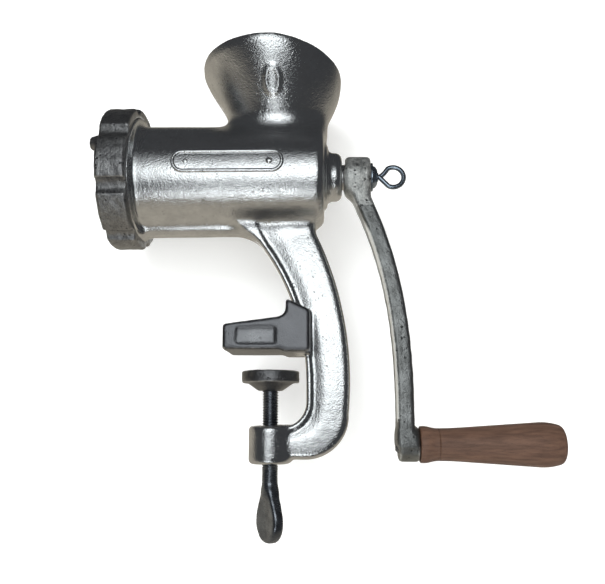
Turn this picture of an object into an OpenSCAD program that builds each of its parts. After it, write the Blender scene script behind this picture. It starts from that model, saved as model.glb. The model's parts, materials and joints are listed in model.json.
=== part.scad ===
// Hand crank meat grinder, size 8, with a screw clamp for a table edge.
// Origin: the middle of the table seat, which is the flat underside of the fixed jaw,
// on the axis of the clamp screw. +Z is up and the meat leaves towards -X.

/* [Barrel] */
// Height of the barrel axis above the table seat
axis_h = 104; // [92:1:126]
// Wall of the barrel
barrel_wall = 4.5; // [3.5:0.5:6]
// Rear face of the barrel, behind the clamp screw axis
rear_x = 31; // [28:1:36]
// Length from the rear face to the front face of the collar
barrel_len = 121; // [100:1:150]
// Thickness of the rear wall
rear_wall = 5; // [4:0.5:7]
// Wall of the threaded collar, outside the cutting plate
collar_wall = 5; // [4:0.5:7]
// Length of the threaded collar
collar_len = 13; // [11:0.5:15]
// Depth of the flange under the barrel
keel_drop = 4.3; // [3:0.1:6]

/* [Rear bearing] */
// Wall of the rear bearing boss
boss_wall = 7; // [4:0.5:9]
// Length of the rear bearing boss
boss_len = 10.5; // [8:0.5:14]
// Radius of the auger journal
journal_r = 7.5; // [6:0.25:9]

/* [Hopper] */
// Height of the front end of the rim above the barrel axis
rim_front_h = 68; // [62:1:82]
// Height of the rear end of the rim above the barrel axis
rim_rear_h = 62.5; // [60:0.5:78]
// Reach of the rim to the front and to the rear
rim_reach = 42; // [38:1:50]
// Half width of the rim across the barrel
rim_half_w = 48; // [42:1:56]
// Wall of the hopper
hopper_wall = 3.5; // [2.5:0.5:5]

/* [Leg] */
// Half thickness of the leg's web
web_half = 6; // [4:0.5:8]
// Half width of the flange along the leg's inner edge
flange_half = 9; // [8:0.5:12]
// Thickness of that flange
flange_t = 4; // [3:0.5:6]

/* [Clamp] */
// Reach of the fixed jaw ahead of the screw axis
jaw_reach = 25; // [18:1:32]
// Half width of the fixed jaw
jaw_half = 22; // [18:1:26]
// Thickness of the fixed jaw at its tip
jaw_t = 14; // [11:0.5:18]
// Gap between the table seat and the clamp disc as drawn
clamp_gap = 10.6; // [5:0.1:16]
// Radius of the clamp disc
disc_r = 16.5; // [13:0.5:20]
// Height of the clamp disc's rim
disc_t = 6.8; // [5:0.1:9]
// Radius of the clamp screw
screw_r = 4.5; // [3.5:0.25:6]
// Wall of the threaded boss at the foot of the leg
foot_wall = 7.5; // [5:0.5:9]
// Length of the threaded boss
foot_len = 21; // [16:1:26]
// Length of the thumb wing
wing_len = 33; // [26:1:40]
// Width of the thumb wing
wing_w = 24; // [18:1:30]
// Turn of the thumb wing about the screw axis as drawn
wing_turn = -58; // [-90:1:90]

/* [Cutting set] */
// Radius of the cutting plate, which sets the barrel and everything in it
plate_r = 31; // [26:0.5:38]
// Width of the ledge behind the cutting plate's rim
plate_ledge = 5; // [3.5:0.5:6]
// Thickness of the cutting plate
plate_t = 5; // [4:0.5:6]
// Radius of each hole in the cutting plate
plate_hole_r = 2.25; // [1.5:0.25:2.5]
// Distance between neighbouring holes in the cutting plate
plate_pitch = 6.4; // [6:0.1:8]
// Thickness of the cross knife
knife_t = 7; // [5:0.5:9]
// Side of the square on the knife stud
stud_side = 9; // [8:0.5:10]
// Radius of the stud's round tip
stud_tip_r = 4; // [3:0.25:4]

/* [Ring nut] */
// Thickness of the ring nut's lobes, outside the thread
lobe_t = 6; // [5:0.5:8]
// Length of the ring nut
ring_len = 17; // [16:0.5:20]
// Number of lobes
lobes = 8; // [6:1:10]
// Thickness of the lip that holds the cutting plate
lip_t = 3.5; // [2.5:0.5:5]

/* [Crank] */
// Throw of the crank, from the barrel axis to the handle axis
throw = 155.4; // [140:0.5:175]
// Half width of the crank arm
arm_half = 9; // [6:0.5:10]
// Thickness of the crank arm
arm_t = 9.6; // [8:0.2:12]
// Length of the crank hub along the barrel axis
hub_len = 15; // [12:0.5:18]
// Wall of the crank hub, outside the corners of its square hole
hub_wall = 5; // [4:0.5:7]
// Outward offset of the arm's foot from the middle of the hub
arm_offset = 26; // [22:0.5:34]
// Wall of the handle boss
grip_boss_wall = 6; // [4:0.5:8]

/* [Handle] */
// Length of the wooden grip
grip_len = 79; // [70:1:100]
// Largest radius of the wooden grip
grip_r = 12.6; // [12:0.1:16]
// Radius of the handle spindle
spindle_r = 3.5; // [3:0.25:4]

/* [Eye screw] */
// Radius of the eye screw's shank
eye_screw_r = 3; // [2.5:0.25:3.5]
// Radius of the loop, to the middle of its wire
eye_loop_r = 7.5; // [6:0.5:10]
// Radius of the loop's wire
eye_wire_r = 1.6; // [1.25:0.05:2]

/* [Hidden] */
$fn = 48;

fit_gap = 0.08;        // radial running clearance of each shaft in its hole
side_gap = 0.3;        // clearance between faces that pass each other
cut = 1;               // how far a cutting shape runs past the face it cuts

bore_r = plate_r - plate_ledge;
barrel_r = bore_r + barrel_wall;
collar_r = plate_r + collar_wall;
ring_r = collar_r + lobe_t;
boss_r = journal_r + boss_wall;
foot_r = screw_r + foot_wall;
grip_boss_r = spindle_r + grip_boss_wall;
drive_side = journal_r * sqrt(2) - 0.6;   // the square is cut from the journal's own bar
hub_r = drive_side / sqrt(2) + hub_wall;
front_x = rear_x - barrel_len;
collar_back_x = front_x + collar_len;
inner_rear_x = rear_x - rear_wall;
boss_end_x = rear_x + boss_len;

plate_front_x = front_x - cut;
plate_back_x = plate_front_x + plate_t;
seat_x = plate_back_x + side_gap;
knife_back_x = plate_back_x + knife_t;
ring_front_x = plate_front_x - lip_t;
ring_back_x = ring_front_x + ring_len;
outlet_r = plate_r - 3.5;
key_r = 1.5;
key_len = 8;
stud_depth = 16;        // how far the knife stud goes into the auger

washer_t = 2.4;
auger_rear_x = inner_rear_x - washer_t - side_gap;
auger_front_x = knife_back_x + side_gap;
collar_disc_t = 3.5;
flight_r = bore_r - 1.2;
flight_turns = 2.6;
core_front_r = 13;
core_rear_r = 9.5;

hub_x = boss_end_x + 2;
drive_end_x = hub_x + hub_len - 1;
dome_x = hub_x + hub_len;
dome_t = 4;
eye_x = dome_x + dome_t + eye_loop_r + eye_wire_r;
eye_depth = 16;

arm_mid_x = hub_x + hub_len / 2;
arm_foot_x = arm_mid_x + arm_offset;
grip_z = axis_h - throw;
grip_boss_len = 11.5;
grip_x = arm_foot_x + grip_boss_len / 2 + side_gap;
grip_end_x = grip_x + grip_len;
grip_sink = 6;
end_washer_t = 1.5;
end_washer_r = spindle_r + 3;

inner_back_x = disc_r + 4.5;       // deepest point of the clamp throat, behind the screw axis
outer_back_x = inner_back_x + 24;  // rear of the leg, behind the screw axis
inner_arc_r = 135;
outer_arc_r = 195;
inner_arc_z = -18;
outer_arc_z = -15;
inner_corner_r = 14;
outer_corner_r = 24;
foot_top_z = -42;
foot_z = foot_top_z - foot_len + 1;
disc_top_z = -clamp_gap;
disc_low_z = disc_top_z - disc_t;
cone_h = 4.5;
socket_depth = 4;
wing_top_z = foot_z - 9.5;

// Points along an arc in the side view, from one angle to another.
function arc(x, z, r, a0, a1, n) =
    [for (i = [0:n]) let (a = a0 + (a1 - a0) * i / n) [x + r * cos(a), z + r * sin(a)]];

// Point on a cubic curve through p[0] and p[3].
function curve(p, t) =
    pow(1 - t, 3) * p[0] + 3 * t * pow(1 - t, 2) * p[1] + 3 * t * t * (1 - t) * p[2] + pow(t, 3) * p[3];

// Direction of that curve.
function slope(p, t) = let (d = 3 * pow(1 - t, 2) * (p[1] - p[0]) + 6 * t * (1 - t) * (p[2] - p[1])
                            + 3 * t * t * (p[3] - p[2])) d / norm(d);

// A solid along X, between two places on the barrel axis.
module along_x(x0, x1, r, r2 = undef) {
    translate([x0, 0, axis_h]) rotate([0, 90, 0])
        cylinder(h = x1 - x0, r1 = r, r2 = is_undef(r2) ? r : r2);
}

// A shape drawn in the side view (X, Z) and given a width in Y.
module side(half) {
    rotate([90, 0, 0]) translate([0, 0, -half]) linear_extrude(height = 2 * half) children();
}

// Hopper: each ring is an oval between a point on the front flank and one on the rear flank.
hopper_low_z = axis_h + 16;
hopper_mid_x = 3.5;
hopper_neck_r = bore_r - 3.5;
hopper_neck_w = bore_r - 6;
hopper_sides = 36;
hopper_steps = 9;
front_flank = [[hopper_mid_x - hopper_neck_r, hopper_low_z],
               [hopper_mid_x - hopper_neck_r - 2, hopper_low_z + 18],
               [8 - rim_reach, axis_h + rim_front_h - 20], [-rim_reach, axis_h + rim_front_h]];
rear_flank = [[hopper_mid_x + hopper_neck_r, hopper_low_z],
              [hopper_mid_x + hopper_neck_r + 2, hopper_low_z + 14],
              [rim_reach, axis_h + rim_rear_h - 20.5], [rim_reach, axis_h + rim_rear_h]];
width_flank = [[hopper_neck_w, 0], [hopper_neck_w + 3, 0], [rim_half_w - 10, 0], [rim_half_w, 0]];

function hopper_ring(t, wall, lift) =
    let (f = curve(front_flank, t), r = curve(rear_flank, t), w = curve(width_flank, t)[0] - wall,
         m = (f + r) / 2, h = (r - f) / 2, k = 1 - wall / norm(h))
    [for (i = [0:hopper_sides - 1]) let (a = i * 360 / hopper_sides)
        [m[0] + h[0] * k * cos(a), w * sin(a), m[1] + h[1] * k * cos(a) + lift]];

module hopper_solid(wall, lift) {
    n = hopper_sides;
    rings = [for (s = [0:hopper_steps]) hopper_ring(s / hopper_steps, wall, s == hopper_steps ? lift : 0)];
    points = [for (r = rings) for (p = r) p];
    sides = [for (s = [0:hopper_steps - 1]) for (i = [0:n - 1]) let (a = s * n + i, b = s * n + (i + 1) % n)
        each [[a, a + n, b], [b, a + n, b + n]]];
    ends = [[for (i = [0:n - 1]) i], [for (i = [n - 1:-1:0]) hopper_steps * n + i]];
    polyhedron(points = points, faces = concat(sides, ends), convexity = 4);
}

// Side outline of the leg: rear curve, foot corner, foot, throat corner and inner curve.
module leg_outline() {
    top_z = axis_h - barrel_r + 4;
    outer_x = outer_back_x - outer_arc_r;
    inner_x = inner_back_x - inner_arc_r;
    polygon(concat(
        arc(outer_x, outer_arc_z, outer_arc_r, asin((top_z - outer_arc_z) / outer_arc_r), -6, 16),
        arc(outer_back_x - 1 - outer_corner_r, foot_z + outer_corner_r + 2, outer_corner_r, 0, -90, 10),
        [[0, foot_z + 2], [0, foot_top_z]],
        arc(inner_back_x - inner_corner_r, foot_top_z + inner_corner_r, inner_corner_r, -90, 0, 8),
        arc(inner_x, inner_arc_z, inner_arc_r, 0, asin((top_z - inner_arc_z) / inner_arc_r), 16)));
}

// Side outline of the flange that follows the inner edge.
module flange_outline() {
    top_z = axis_h - barrel_r + 4;
    inner_x = inner_back_x - inner_arc_r;
    a1 = asin((top_z - inner_arc_z) / inner_arc_r);
    polygon(concat(
        arc(inner_x, inner_arc_z, inner_arc_r, a1, 0, 20),
        arc(inner_back_x - inner_corner_r, foot_top_z + inner_corner_r, inner_corner_r, 0, -90, 8),
        [[0, foot_top_z], [0, foot_top_z - flange_t]],
        arc(inner_back_x - inner_corner_r, foot_top_z + inner_corner_r, inner_corner_r + flange_t, -90, 0, 8),
        arc(inner_x, inner_arc_z, inner_arc_r + flange_t, 0, a1, 20)));
}

module jaw() {
    root_x = inner_back_x + flange_t / 2;
    root_h = jaw_t + 16;
    panel_x = jaw_reach - 7;
    panel_len = panel_x + 5;
    panel_edge = 2.6;
    panel_deep = 0.8;
    difference() {
        side(jaw_half) polygon([[1 - jaw_reach, 0], [root_x, 0], [root_x, root_h], [root_x - 9, root_h - 3],
                                [root_x - 15, root_h - 11], [-jaw_reach, jaw_t]]);
        for (s = [-1, 1]) {
            translate([-panel_x, s * jaw_half - panel_deep, panel_edge])
                cube([panel_len, 2 * panel_deep, jaw_t - 2 * panel_edge]);
        }
    }
}

module body_casting() {
    color("silver") difference() {
        union() {
            along_x(collar_back_x, rear_x, barrel_r);
            along_x(front_x, collar_back_x, collar_r);
            along_x(collar_back_x, collar_back_x + 5, collar_r, barrel_r);
            along_x(rear_x, boss_end_x, boss_r);
            hopper_solid(0, 0);
            translate([collar_back_x, -flange_half, axis_h - barrel_r - keel_drop])
                cube([-collar_back_x, 2 * flange_half, keel_drop + barrel_wall]);
            side(web_half) leg_outline();
            side(flange_half) flange_outline();
            jaw();
            translate([0, 0, foot_z]) cylinder(h = foot_len, r = foot_r);
        }
        along_x(front_x - cut, inner_rear_x, bore_r);
        along_x(front_x - cut, seat_x, plate_r + fit_gap);
        along_x(inner_rear_x - cut, boss_end_x + cut, journal_r + fit_gap);
        hopper_solid(hopper_wall, cut);
        translate([front_x - cut, 0, axis_h - plate_r]) rotate([0, 90, 0])
            cylinder(h = key_len + cut, r = key_r);
        translate([0, 0, foot_z - cut]) cylinder(h = foot_len + 2 * cut, r = screw_r + fit_gap);
    }
}

module plate_key_pin() {
    color("dimgray") translate([front_x, 0, axis_h - plate_r]) rotate([0, 90, 0])
        cylinder(h = key_len, r = key_r);
}

module thrust_washer() {
    color("saddlebrown") difference() {
        along_x(inner_rear_x - washer_t, inner_rear_x, journal_r + 6);
        along_x(inner_rear_x - washer_t - cut, inner_rear_x + cut, journal_r + fit_gap);
    }
}

module auger() {
    length = auger_rear_x - collar_disc_t - auger_front_x;
    color("silver") difference() {
        union() {
            along_x(auger_front_x, auger_front_x + length, core_front_r, core_rear_r);
            translate([auger_front_x, 0, axis_h]) rotate([0, 90, 0])
                linear_extrude(height = length, twist = 360 * flight_turns, slices = 60)
                    translate([0, -3]) square([flight_r, 6]);
            along_x(auger_rear_x - collar_disc_t, auger_rear_x, flight_r - 4);
            along_x(auger_rear_x - cut, hub_x, journal_r);
            translate([hub_x - cut, -drive_side / 2, axis_h - drive_side / 2])
                cube([drive_end_x - hub_x + cut, drive_side, drive_side]);
        }
        along_x(auger_front_x - cut, auger_front_x + stud_depth, stud_tip_r);
        along_x(drive_end_x - eye_depth, drive_end_x + cut, eye_screw_r + fit_gap);
    }
}

module knife_stud() {
    color("gray") {
        along_x(auger_front_x, auger_front_x + stud_depth, stud_tip_r);
        translate([plate_back_x, -stud_side / 2, axis_h - stud_side / 2])
            cube([auger_front_x - plate_back_x, stud_side, stud_side]);
        along_x(plate_front_x + 0.5, plate_back_x, stud_tip_r - fit_gap);
    }
}

module cross_knife() {
    blade_r = bore_r - 1;
    blade_w = 7;
    trail = 4;
    color("gainsboro") difference() {
        union() {
            along_x(plate_back_x, knife_back_x, stud_side / sqrt(2) + 2.7);
            for (a = [0:90:270]) {
                translate([plate_back_x, 0, axis_h]) rotate([a, 0, 0])
                    translate([0, -trail, 0]) cube([knife_t - 1, blade_w, blade_r]);
            }
        }
        translate([plate_back_x - cut, -stud_side / 2 - fit_gap, axis_h - stud_side / 2 - fit_gap])
            cube([knife_t + 2 * cut, stud_side + 2 * fit_gap, stud_side + 2 * fit_gap]);
    }
}

module cutting_plate() {
    rows = 4;
    color("silver") difference() {
        along_x(plate_front_x, plate_back_x, plate_r);
        along_x(plate_front_x - cut, plate_back_x + cut, stud_tip_r);
        for (q = [-rows:rows]) {
            for (p = [-rows:rows]) {
                y = plate_pitch * (q + p / 2);
                z = plate_pitch * p * sqrt(3) / 2;
                d = norm([y, z]);
                if (d > stud_tip_r + plate_hole_r + 0.4 && d < outlet_r - plate_hole_r - 0.8) {
                    translate([plate_front_x - cut, y, axis_h + z]) rotate([0, 90, 0])
                        cylinder(h = plate_t + 2 * cut, r = plate_hole_r, $fn = 24);
                }
            }
        }
        translate([plate_front_x - cut, -key_r - fit_gap, axis_h - plate_r - cut])
            cube([plate_t + 2 * cut, 2 * (key_r + fit_gap), key_r + fit_gap + cut]);
    }
}

module ring_nut() {
    notch_r = 4.2;
    notch_deep = 3.5;
    nub_r = 4;
    nub_h = 4;
    color("dimgray") difference() {
        union() {
            along_x(ring_front_x, ring_back_x, ring_r);
            translate([ring_front_x - nub_h, -ring_r * 0.86, axis_h + ring_r * 0.21]) rotate([0, 90, 0])
                cylinder(h = nub_h + cut, r = nub_r);
        }
        along_x(ring_front_x + lip_t, ring_back_x + cut, collar_r + fit_gap);
        along_x(ring_front_x - nub_h - cut, ring_front_x + lip_t + cut, outlet_r);
        for (i = [0:lobes - 1]) {
            translate([ring_front_x - cut, 0, axis_h]) rotate([(i + 0.5) * 360 / lobes, 0, 0])
                translate([0, -(ring_r + notch_r - notch_deep), 0]) rotate([0, 90, 0])
                    cylinder(h = ring_len + 2 * cut, r = notch_r);
        }
    }
}

// Middle line of the crank arm in the side view.
arm_line = [[arm_mid_x - 2.5, axis_h - 4], [arm_foot_x - 8.5, axis_h - 0.3 * throw],
            [arm_foot_x + 0.5, axis_h - 0.54 * throw], [arm_foot_x - 2, grip_z]];

module arm_outline() {
    steps = 20;
    function edge(t, s) = let (d = slope(arm_line, t)) curve(arm_line, t) + s * arm_t / 2 * [-d[1], d[0]];
    polygon(concat([for (i = [0:steps]) edge(i / steps, 1)], [for (i = [steps:-1:0]) edge(i / steps, -1)]));
}

module crank_arm() {
    color("dimgray") difference() {
        union() {
            along_x(hub_x, hub_x + hub_len, hub_r);
            side(arm_half) arm_outline();
            translate([arm_foot_x - grip_boss_len / 2, 0, grip_z]) rotate([0, 90, 0])
                cylinder(h = grip_boss_len, r = grip_boss_r);
        }
        translate([hub_x - cut, -drive_side / 2 - fit_gap, axis_h - drive_side / 2 - fit_gap])
            cube([hub_len + 2 * cut, drive_side + 2 * fit_gap, drive_side + 2 * fit_gap]);
        translate([arm_foot_x - grip_boss_len, 0, grip_z]) rotate([0, 90, 0])
            cylinder(h = 2 * grip_boss_len, r = spindle_r);
        along_x(dome_x, dome_x + dome_t + side_gap, hub_r);
    }
}

module crank_washer() {
    color("slategray") difference() {
        along_x(dome_x, dome_x + dome_t, hub_r - 1.5, eye_screw_r + 1.5);
        along_x(dome_x - cut, dome_x + dome_t + cut, eye_screw_r + fit_gap);
    }
}

module eye_screw() {
    color("slategray") {
        along_x(drive_end_x - eye_depth + cut, dome_x + dome_t, eye_screw_r);
        along_x(dome_x + dome_t, eye_x - eye_loop_r, eye_screw_r, eye_wire_r + 0.6);
        translate([eye_x, 0, axis_h]) rotate([90, 0, 0])
            rotate_extrude() translate([eye_loop_r, 0]) circle(r = eye_wire_r, $fn = 24);
    }
}

module handle_spindle() {
    head_t = 1.5;
    head_r = spindle_r + head_t;
    boss_x = arm_foot_x - grip_boss_len / 2;
    head_x = grip_end_x - grip_sink + end_washer_t;
    color("gray") translate([0, 0, grip_z]) rotate([0, 90, 0]) {
        translate([0, 0, boss_x]) cylinder(h = head_x + head_t / 2 - boss_x, r = spindle_r);
        translate([0, 0, boss_x - head_t]) cylinder(h = head_t, r1 = spindle_r, r2 = head_r);
        translate([0, 0, head_x]) cylinder(h = head_t, r1 = head_r, r2 = spindle_r);
    }
}

module handle_washer() {
    color("gray") translate([grip_end_x - grip_sink, 0, grip_z]) rotate([0, 90, 0]) difference() {
        cylinder(h = end_washer_t, r = end_washer_r);
        translate([0, 0, -cut]) cylinder(h = end_washer_t + 2 * cut, r = spindle_r);
    }
}

module handle_grip() {
    bead_r = 10.2;
    neck_r = 9;
    neck_x = 8;
    end_round = 8;
    end_step = 4.6;
    color("sienna") translate([grip_x, 0, grip_z]) rotate([0, 90, 0]) difference() {
        rotate_extrude() polygon(concat(
            [[0, 0], [bead_r - 0.8, 0], [bead_r, 1], [bead_r, 3.5], [neck_r, neck_x], [neck_r, 2 * neck_x]],
            [[grip_r, grip_len - end_round]],
            [for (a = [15:15:75])
                [grip_r - end_step * (1 - cos(a)), grip_len - end_round * (1 - sin(a))]],
            [[grip_r - end_step, grip_len], [0, grip_len]]));
        translate([0, 0, -cut]) cylinder(h = grip_len + 2 * cut, r = spindle_r + fit_gap);
        translate([0, 0, grip_len - grip_sink - side_gap])
            cylinder(h = grip_sink + side_gap + cut, r = end_washer_r + side_gap);
    }
}

module clamp_disc() {
    color("dimgray") difference() {
        union() {
            translate([0, 0, disc_low_z]) cylinder(h = disc_t, r = disc_r);
            translate([0, 0, disc_low_z - cone_h]) cylinder(h = cone_h, r1 = screw_r + 2, r2 = disc_r - 3);
        }
        translate([0, 0, disc_low_z - cone_h - cut])
            cylinder(h = cone_h + cut + socket_depth, r = screw_r + fit_gap);
    }
}

module clamp_screw() {
    wing_t = 7;
    neck_half = 6;
    lobe_r = wing_w / 2;
    lobe_y = lobe_r - wing_len;
    flank_y = lobe_y + 3;
    flank_x = lobe_r - 0.5;
    color("gray") {
        translate([0, 0, wing_top_z - neck_half])
            cylinder(h = disc_low_z + socket_depth - side_gap - wing_top_z + neck_half, r = screw_r);
        translate([0, 0, wing_top_z]) rotate([0, 0, wing_turn]) side(wing_t / 2) union() {
            translate([0, lobe_y]) circle(r = lobe_r);
            polygon([[-neck_half, 0], [neck_half, 0], [flank_x, flank_y], [-flank_x, flank_y]]);
        }
    }
}

body_casting();
plate_key_pin();
thrust_washer();
auger();
knife_stud();
cross_knife();
cutting_plate();
ring_nut();
crank_arm();
crank_washer();
eye_screw();
handle_spindle();
handle_washer();
handle_grip();
clamp_disc();
clamp_screw();
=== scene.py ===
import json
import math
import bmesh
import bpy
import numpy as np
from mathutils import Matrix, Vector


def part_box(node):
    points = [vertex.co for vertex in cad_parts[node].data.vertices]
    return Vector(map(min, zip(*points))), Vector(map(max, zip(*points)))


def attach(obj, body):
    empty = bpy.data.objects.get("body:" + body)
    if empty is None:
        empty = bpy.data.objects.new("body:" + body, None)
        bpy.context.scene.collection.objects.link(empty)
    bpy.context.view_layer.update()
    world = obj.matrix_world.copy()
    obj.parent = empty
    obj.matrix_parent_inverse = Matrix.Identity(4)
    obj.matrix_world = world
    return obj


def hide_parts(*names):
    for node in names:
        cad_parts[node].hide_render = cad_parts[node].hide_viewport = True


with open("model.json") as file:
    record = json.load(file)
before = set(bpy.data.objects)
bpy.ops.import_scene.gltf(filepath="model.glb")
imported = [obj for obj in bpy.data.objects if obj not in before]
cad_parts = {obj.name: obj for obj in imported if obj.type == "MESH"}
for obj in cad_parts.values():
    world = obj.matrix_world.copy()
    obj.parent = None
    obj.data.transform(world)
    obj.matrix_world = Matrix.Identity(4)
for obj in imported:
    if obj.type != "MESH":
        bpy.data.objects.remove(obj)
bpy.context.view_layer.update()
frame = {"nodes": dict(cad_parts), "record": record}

# %% [markdown]
# A hand crank meat grinder is nearly all casting: one tinned iron body, a dark ring nut, a rough crank
# and a clamp, with a turned wooden grip. This lesson builds the looks of each piece around the packed
# frame, in the order in which a workshop would: the body first, then what screws onto it.
# Sizes are kept in millimetres, because that is how the pieces are drawn, and turned into metres once,
# when a mesh is made.

MM = 0.001


def box_mm(node):
    low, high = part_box(node)
    return np.array(low) / MM, np.array(high) / MM


PLATE_LOW, PLATE_HIGH = box_mm("cutting_plate")
RING_LOW, RING_HIGH = box_mm("ring_nut")
BODY_LOW, BODY_HIGH = box_mm("body_casting")
ARM_LOW, ARM_HIGH = box_mm("crank_arm")
DOME_LOW, DOME_HIGH = box_mm("crank_washer")
EYE_HIGH = box_mm("eye_screw")[1]
GRIP_LOW, GRIP_HIGH = box_mm("handle_grip")
DISC_LOW, DISC_HIGH = box_mm("clamp_disc")
SCREW_LOW = box_mm("clamp_screw")[0]
AUGER_LOW, AUGER_HIGH = box_mm("auger")
AXIS = (PLATE_LOW[2] + PLATE_HIGH[2]) / 2
PLATE_R = (PLATE_HIGH[2] - PLATE_LOW[2]) / 2
GRIP_Z = (GRIP_LOW[2] + GRIP_HIGH[2]) / 2
print("barrel axis at", round(AXIS, 1), "mm, cutting plate radius", round(PLATE_R, 1), "mm")

# %% [markdown]
# The studio comes first, so that every piece can be looked at as soon as it exists. Bright metal shows
# what is around it more than its own colour, so the lights are large soft boxes that the metal can mirror:
# a broad one in front, a dimmer one above it, a narrow one below and a bright strip lowest, with dark air
# between them. The key light isn't mirrored, and the back panel lights the far side. The white sheet behind
# the grinder and the floor stay out of the mirrors, because they would fill the dark bands that make metal
# look like metal. The sheet is painted on its front face alone, so the back can be seen too.

# %% Camera and stage
scene = bpy.context.scene
scene.view_settings.view_transform = "Standard"
LENS, SENSOR = 41.65, 36
CAMERA_PLACE, CAMERA_AIM = (0.0321, -0.3996, -0.0355), (0.0181, 0, 0.0350)
COOL_WHITE = (0.94, 0.985, 1.0)


def point_at(thing, target):
    toward = target - np.array(thing.location)
    flat = math.hypot(toward[0], toward[1])
    thing.rotation_euler = (math.atan2(flat, -toward[2]), 0, math.atan2(-toward[0], toward[1]))


camera_data = bpy.data.cameras.new("camera")
camera_data.lens = LENS
camera_data.sensor_width = SENSOR
camera_data.clip_start = 0.01
camera = bpy.data.objects.new("camera", camera_data)
camera.location = CAMERA_PLACE
point_at(camera, np.array(CAMERA_AIM))
scene.collection.objects.link(camera)
scene.camera = camera


def soft_box(name, place, target, size, brightness, mirrored=True):
    data = bpy.data.lights.new(name, "AREA")
    data.shape = "RECTANGLE"
    data.size, data.size_y = size
    data.energy = brightness * math.pi * size[0] * size[1]
    data.color = COOL_WHITE
    light = bpy.data.objects.new(name, data)
    light.location = place
    point_at(light, np.array(target))
    light.visible_glossy = mirrored
    scene.collection.objects.link(light)


soft_box("camera_panel", place=(-0.01, -0.44, 0.078), target=(-0.01, 0, 0.078), size=(0.34, 0.235),
         brightness=1.8)
soft_box("wing_panel", place=(-0.02, -0.44, 0.265), target=(-0.02, 0, 0.104), size=(0.34, 0.14),
         brightness=0.55)
soft_box("gap_panel", place=(-0.055, -0.44, -0.18), target=(-0.03, 0, 0.10), size=(0.12, 0.28),
         brightness=1.0)
soft_box("low_strip", place=(-0.05, -0.36, -0.34), target=(-0.02, 0, 0.104), size=(0.26, 0.075),
         brightness=3.2)
soft_box("key", place=(-0.30, -1.00, 0.52), target=(0.02, 0, 0.05), size=(0.45, 0.45), brightness=7.5,
         mirrored=False)
soft_box("back_panel", place=(-0.10, 0.90, 0.30), target=(0, 0, 0.05), size=(0.55, 0.30), brightness=0.9)

SHEET_GAP = 0.004
SHEET_Y = BODY_HIGH[1] * MM + SHEET_GAP
FLOOR_Z = -0.152
SHEET_HALF, FLOOR_HALF = 2, 4
SQUARE = ((-1, -1), (1, -1), (1, 1), (-1, 1))


def stage_plane(name, corners, colour, one_sided, glow):
    mesh = bpy.data.meshes.new(name)
    mesh.from_pydata(corners, [], [(0, 1, 2, 3)])
    plane = bpy.data.objects.new(name, mesh)
    scene.collection.objects.link(plane)
    material = bpy.data.materials.new(name)
    material.use_nodes = True
    nodes, links = material.node_tree.nodes, material.node_tree.links
    shader = nodes["Principled BSDF"]
    shader.inputs["Base Color"].default_value = (*colour, 1)
    shader.inputs["Roughness"].default_value = 0.95
    shader.inputs["Specular IOR Level"].default_value = 0.1
    shader.inputs["Emission Color"].default_value = (*colour, 1)
    shader.inputs["Emission Strength"].default_value = glow
    if one_sided:
        side = nodes.new("ShaderNodeNewGeometry")
        clear = nodes.new("ShaderNodeBsdfTransparent")
        mix = nodes.new("ShaderNodeMixShader")
        links.new(side.outputs["Backfacing"], mix.inputs[0])
        links.new(shader.outputs[0], mix.inputs[1])
        links.new(clear.outputs[0], mix.inputs[2])
        links.new(mix.outputs[0], nodes["Material Output"].inputs["Surface"])
    mesh.materials.append(material)
    plane.visible_glossy = False
    plane.visible_shadow = False


stage_plane("paper_sheet", [(SHEET_HALF * a, SHEET_Y, SHEET_HALF * b) for a, b in SQUARE],
            colour=(0.93, 0.925, 0.915), one_sided=True, glow=0.25)
stage_plane("floor", [(FLOOR_HALF * a, FLOOR_HALF * b, FLOOR_Z) for a, b in SQUARE],
            colour=(0.86, 0.86, 0.85), one_sided=False, glow=0.0)

# %% [markdown]
# The air around the object is a plain pale light for everything but mirrors. What the metal mirrors is a
# dim room that gets warmer and lighter towards the sheet and the ground, as a room with a paper roll does.
# Three helpers keep node trees short from here on: one adds a node and fills or wires its sockets, one
# spreads a range of values over another, and one blends two colours.

# %% The air
AIR_STRENGTH, PLAIN_AIR = 0.92, (0.86, 0.86, 0.86)
ROOM_DARK, ROOM_LIGHT = (0.048, 0.050, 0.054), (0.44, 0.405, 0.34)
TOWARDS_PAPER, FULL_AT = (-0.25, 0.95, -0.75), 0.62


def add(tree, kind, settings=None, **sockets):
    node = tree.nodes.new(kind)
    for key, value in (settings or {}).items():
        setattr(node, key, value)
    for key, value in sockets.items():
        socket = node.inputs[int(key[1:])] if key[1:].isdigit() else node.inputs[key.replace("_", " ")]
        if isinstance(value, bpy.types.NodeSocket):
            tree.links.new(value, socket)
        else:
            socket.default_value = value
    return node


def spread(tree, value, low, high, out_low=0.0, out_high=1.0, kind="LINEAR"):
    node = add(tree, "ShaderNodeMapRange", {"clamp": True, "interpolation_type": kind}, Value=value,
               From_Min=low, From_Max=high, To_Min=out_low, To_Max=out_high)
    return node.outputs[0]


def blend_colour(tree, factor, a, b):
    node = add(tree, "ShaderNodeMix", {"data_type": "RGBA"}, Factor=factor)
    for socket, value in ((node.inputs[6], a), (node.inputs[7], b)):
        if isinstance(value, bpy.types.NodeSocket):
            tree.links.new(value, socket)
        else:
            socket.default_value = (*value, 1)
    return node.outputs[2]


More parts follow.
